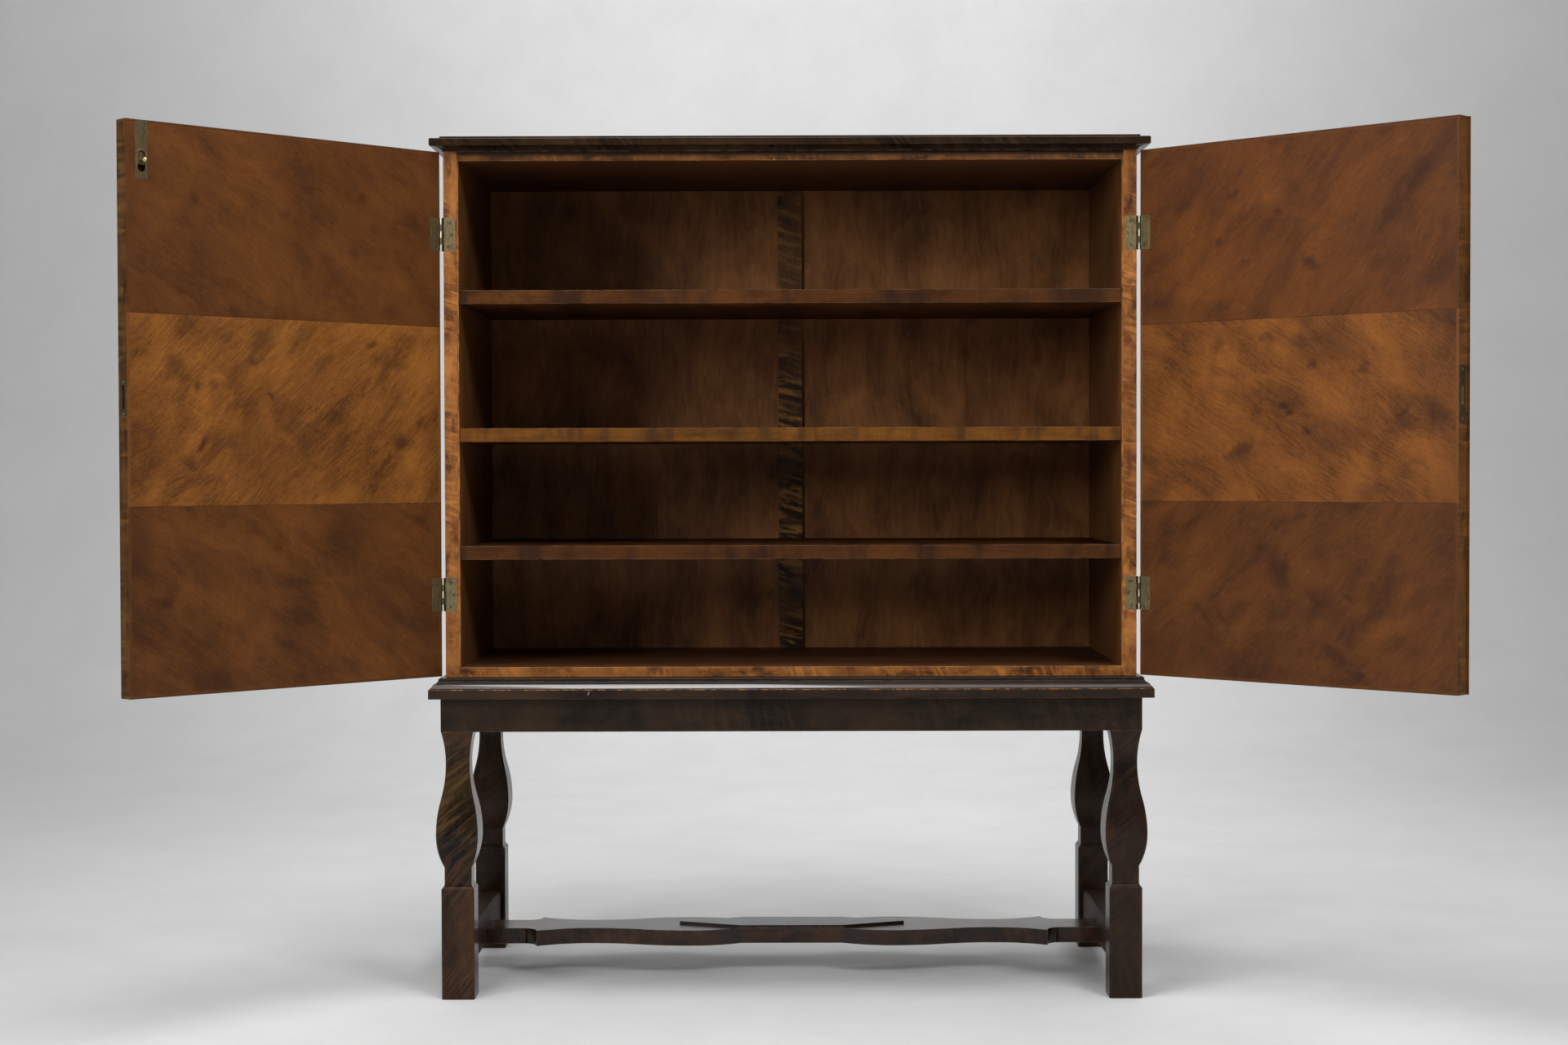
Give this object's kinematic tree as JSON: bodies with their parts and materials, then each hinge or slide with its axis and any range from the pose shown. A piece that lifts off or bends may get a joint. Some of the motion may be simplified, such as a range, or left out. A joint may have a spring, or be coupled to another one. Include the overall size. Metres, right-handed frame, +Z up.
{
  "type": "cabinet",
  "caption": "Free-standing birch cabinet with hinged doors and loose shelves, on an open stand with sawn baluster legs and a serpentine stretcher.",
  "frame": {"origin": "on the floor, in the middle of the box around the cabinet with its doors as far open as in the picture", "axes": "+X to the right as seen from the front, +Y from the front to the back, +Z up"},
  "size_m": [1.8257, 0.7835, 1.286],
  "materials": {
    "stand_wood": "polished dark stain, worn on the arrises",
    "cornice_wood": "polished dark stain",
    "case_wood": "satin polish",
    "shelf_wood": "satin polish",
    "back_wood": "dull, aged",
    "door_veneer": "figured veneer in three bands, satin polish",
    "door_edging": "satin polish",
    "brass": "aged, satin"
  },
  "bodies": {
    "cabinet": {"back_centre_stile": "back_wood", "case_bottom": "case_wood", "case_front_edgings": "case_wood", "case_top": "case_wood", "centre_stretcher": "stand_wood", "front_apron": "stand_wood", "front_cornice": "cornice_wood", "front_left_leg": "stand_wood", "front_right_leg": "stand_wood", "front_stand_moulding": "stand_wood", "hinge_pins": "brass", "left_apron": "stand_wood", "left_back_panel": "back_wood", "left_case_hinge_leaves": "brass", "left_cornice": "cornice_wood", "left_side": "case_wood", "left_stand_moulding": "stand_wood", "left_stretcher": "stand_wood", "lower_shelf": "shelf_wood", "middle_shelf": "shelf_wood", "rear_apron": "stand_wood", "rear_cornice_rail": "cornice_wood", "rear_left_leg": "stand_wood", "rear_right_leg": "stand_wood", "rear_stand_rail": "stand_wood", "right_apron": "stand_wood", "right_back_panel": "back_wood", "right_case_hinge_leaves": "brass", "right_cornice": "cornice_wood", "right_side": "case_wood", "right_stand_moulding": "stand_wood", "right_stretcher": "stand_wood", "shelf_pins": "brass", "stretcher_plate": "stand_wood", "top_panel": "cornice_wood", "upper_shelf": "shelf_wood"},
    "left_door": {"left_door_panel": "door_veneer", "left_door_edgings": "door_edging", "left_door_hinge_leaves": "brass", "strike_plate": "brass", "door_bolt_plate": "brass"},
    "right_door": {"right_door_panel": "door_veneer", "right_door_edgings": "door_edging", "meeting_strip": "door_edging", "right_door_hinge_leaves": "brass", "lock_case": "brass", "lock_forend": "brass"},
    "door_bolt": {"door_bolt_rod": "brass", "door_bolt_knob": "brass"},
    "lock_bolt_slider": {"lock_bolt": "brass"}
  },
  "joints": [
    {"name": "left_door_hinge", "type": "hinge", "parent": "cabinet", "child": "left_door", "pos_m": [-0.5193, -0.0295, 0.872], "axis": [0, 0, -1], "range_deg": [-135.7, 44.3]},
    {"name": "right_door_hinge", "type": "hinge", "parent": "cabinet", "child": "right_door", "pos_m": [0.5193, -0.0295, 0.872], "axis": [0, 0, 1], "range_deg": [-137, 43]},
    {"name": "door_bolt_slide", "type": "slide", "parent": "left_door", "child": "door_bolt", "axis": [0, 0, 1], "range_m": [0, 0.011]},
    {"name": "lock_bolt_slide", "type": "slide", "parent": "right_door", "child": "lock_bolt_slider", "axis": [0.7314, -0.682, 0], "range_m": [0, 0.009]}
  ]
}
